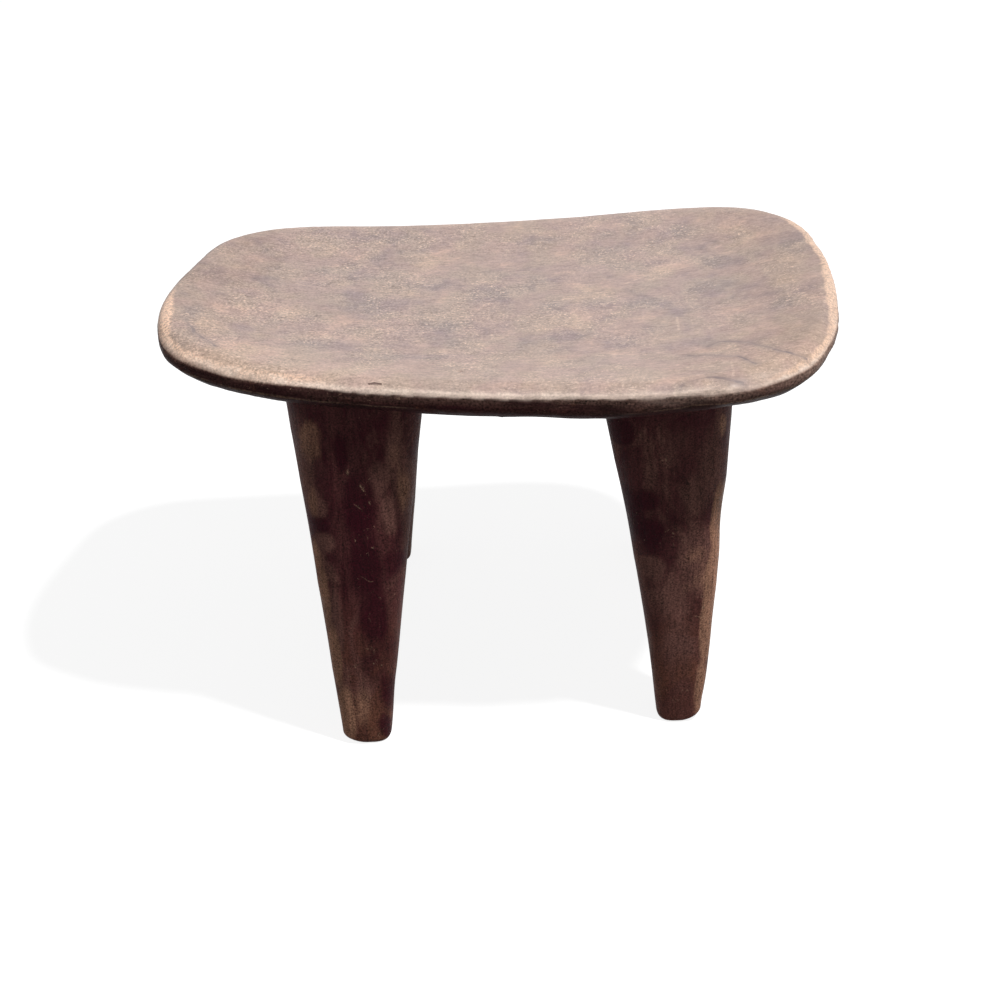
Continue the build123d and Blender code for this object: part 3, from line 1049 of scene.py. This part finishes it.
def upper_share(n):
    """1 on the top, 0 on the sides, with a ragged boundary that wanders up and down the rim."""
    facing = n.plus(n.facing_up, n.swing(n.streaks, TOP_RAGGEDNESS))
    facing = n.minus(facing, n.times(n.zone(DARK_EDGE_BACK), DARK_EDGE_REACH))
    forward = n.times(n.eases(n.x, FRONT_REACH), n.look("reach_forward"))
    n.facing = n.plus(facing, n.eases(n.x, TOP_REACH), forward)
    return n.look("upper")


def seat_material():
    """Hand-rubbed hardwood: a pale, greyed and scratched top over nearly black sides. The top's paleness is
    partly painted sheen, and the rim carries painted highlights and painted shade.
    """
    n = Wood("seat_wood", SEAT_NOISES, SEAT_GRAIN, SEAT_SWAY, SEAT_LOOKS)
    n.inside = n.stored("inside")
    n.above = n.stored("above_edge")
    n.facing_up = n.stored("facing_up")
    n.left_end = n.zone(LEFT_END)
    n.off_curl = n.away_from(n.curls, NOISE_MIDDLE)
    n.curl = n.times(n.look("curled"), n.look("curl_gritty"), n.look("flecked"))

    wandering = n.swayed(*RING_SWAY)
    rings = n.times(n.marks(wandering, RINGS_CUT, RING_WIDTH), n.look("ring_smudged"))
    ring_shade = n.times(n.marks(wandering, RINGS_CUT, RING_SHADE_WIDTH), RING_SHADE)
    n.rings = n.greater(rings, ring_shade)
    n.scratches = n.times(n.marks(n.place, SCRATCHES_AND_SPLIT_HIGHLIGHT, SCRATCH_WIDTH), n.look("scratch_fibrous"))
    hole = n.times(n.marks(n.place, HOLES, HOLE_WIDTH), HOLE_SHARE)
    n.splits = n.greater(n.marks(n.place, SPLITS, SPLIT_WIDTH), hole)

    upper = upper_share(n)
    top = with_marks(n, with_lips(n, worn_bare(n, top_colour(n))))
    colour = n.mix(upper, side_colour(n), top)
    side_relief = n.times(n.streaks, n.times(n.minus(1.0, upper), SIDE_RELIEF))
    relief = n.plus(n.weighed(SEAT_RELIEF), side_relief)
    n.right_front = n.zone(RIGHT_FRONT)
    gloss = n.ease(upper, 0.0, 1.0, SIDE_GLOSS, n.look("top_gloss"))
    return n.finish(colour, gloss, relief, SEAT_BUMP)


def leg_material():
    """Smoke-dark hardwood with the grain running down the leg, paler and browner towards the foot. On the
    front legs, the seat's shadow is painted darker and lit parts are painted paler.
    """
    n = Wood("leg_wood", LEG_NOISES, LEG_GRAIN, LEG_SWAY, LEG_LOOKS)
    ragged = n.minus(n.plus(n.streaks, n.clouds), 2 * NOISE_MIDDLE)
    for name in LEG_PATCHES:
        setattr(n, name, n.plus(n.stored(name), ragged))
    colour = n.mix(n.look("blackened"), LEG_DARK, LEG_BLACK)
    colour = n.mix(n.look("clouded"), colour, LEG_GREY)
    brown = n.mix(n.look("brown_clouded"), LEG_BROWN, LEG_DARK)
    colour = n.mix(n.look("towards_foot"), colour, brown)
    # The pale and rubbed patches carry painted light, the dark ones painted shadow of the seat.
    colour = n.mix(n.look("paled"), colour, LEG_GREY)
    colour = n.mix(n.look("rubbed_and_lit"), colour, LEG_TAN)
    colour = n.mix(n.look("darkened"), colour, LEG_BLACK)
    colour = n.mix(n.times(n.look("nicked"), n.look("nick_clustered")), colour, WOOD_TAN)
    scratches = n.marks(n.place, LEG_SCRATCHES, LEG_SCRATCH_WIDTH)
    colour = n.mix(n.times(scratches, n.look("scratch_flecked")), colour, WOOD_TAN)
    colour = n.grained(colour, LEG_CONTRAST)
    return n.finish(colour, LEG_GLOSS, n.weighed(LEG_RELIEF), LEG_BUMP)


def seen_directly(n):
    """1 for rays from the camera, from a glossy surface or through a clear one."""
    path = n.add("ShaderNodeLightPath").outputs
    seen = n.greater(path["Is Camera Ray"], path["Is Glossy Ray"])
    return n.greater(seen, path["Is Transmission Ray"])


def make_stage():
    """A plain white floor that keeps the stool's shadow."""
    half = FLOOR_HALF_SIZE
    mesh = bpy.data.meshes.new("floor")
    corners = [(-half, -half, 0), (half, -half, 0), (half, half, 0), (-half, half, 0)]
    mesh.from_pydata(corners, [], [(0, 1, 2, 3)])
    floor = new_object("floor", mesh)
    n = Nodes(bpy.data.materials.new("floor_white"))
    grey = n.add("ShaderNodeBsdfDiffuse", {"Color": FLOOR_GREY})
    white = n.add("ShaderNodeBsdfDiffuse", {"Color": FLOOR_WHITE})
    glow = n.add("ShaderNodeEmission", {"Color": WHITE, "Strength": FLOOR_GLOW})
    bright = n.add("ShaderNodeAddShader", {0: white.outputs[0], 1: glow.outputs[0]})
    shaders = {0: seen_directly(n), 1: grey.outputs[0], 2: bright.outputs[0]}
    blend = n.add("ShaderNodeMixShader", shaders)
    n.add("ShaderNodeOutputMaterial", {"Surface": blend.outputs[0]})
    mesh.materials.append(n.owner)


def make_light():
    """One soft lamp, and an even surrounding that is white where it is seen directly."""
    lamp = bpy.data.lights.new("key", "AREA")
    lamp.shape = "DISK"
    lamp.size = KEY_SIZE
    lamp.energy = KEY_POWER
    key = new_object("key", lamp)
    away = Vector((
        math.sin(KEY_AZIMUTH) * math.cos(KEY_ELEVATION),
        -math.cos(KEY_AZIMUTH) * math.cos(KEY_ELEVATION),
        math.sin(KEY_ELEVATION),
    ))
    key.location = KEY_AIM + away * KEY_DISTANCE
    key.rotation_mode = "QUATERNION"
    key.rotation_quaternion = away.to_track_quat("Z", "Y")

    world = bpy.data.worlds.new("surround")
    bpy.context.scene.world = world
    n = Nodes(world)
    strength = n.ease(seen_directly(n), 0.0, 1.0, SURROUND_LIGHT, 1.0)
    background = n.add("ShaderNodeBackground", {"Color": WHITE, "Strength": strength})
    n.add("ShaderNodeOutputWorld", {"Surface": background.outputs[0]})


def make_camera():
    """The photograph's camera: pitched down and very slightly rolled."""
    data = bpy.data.cameras.new("camera")
    data.lens = LENS
    data.sensor_width = SENSOR
    camera = new_object("camera", data)
    look = Vector((0, math.cos(CAMERA_PITCH), -math.sin(CAMERA_PITCH)))
    right = Vector((1, 0, 0))
    down = look.cross(right)
    across = right * math.cos(CAMERA_ROLL) + down * math.sin(CAMERA_ROLL)
    upward = right * math.sin(CAMERA_ROLL) - down * math.cos(CAMERA_ROLL)
    turn = Matrix((across, upward, -look)).transposed().to_4x4()
    camera.matrix_world = Matrix.Translation(CAMERA_PLACE) @ turn
    bpy.context.scene.camera = camera


make_camera()
make_light()
make_stage()
bpy.context.scene.view_settings.view_transform = "Standard"

seat_wood = seat_material()
leg_wood = leg_material()
seat = make_seat()
seat.data.materials.append(seat_wood)
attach(seat, "root")
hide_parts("seat")
for node in LEGS:
    leg = make_leg(node)
    leg.data.materials.append(leg_wood)
    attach(leg, "root")
    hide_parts(node)
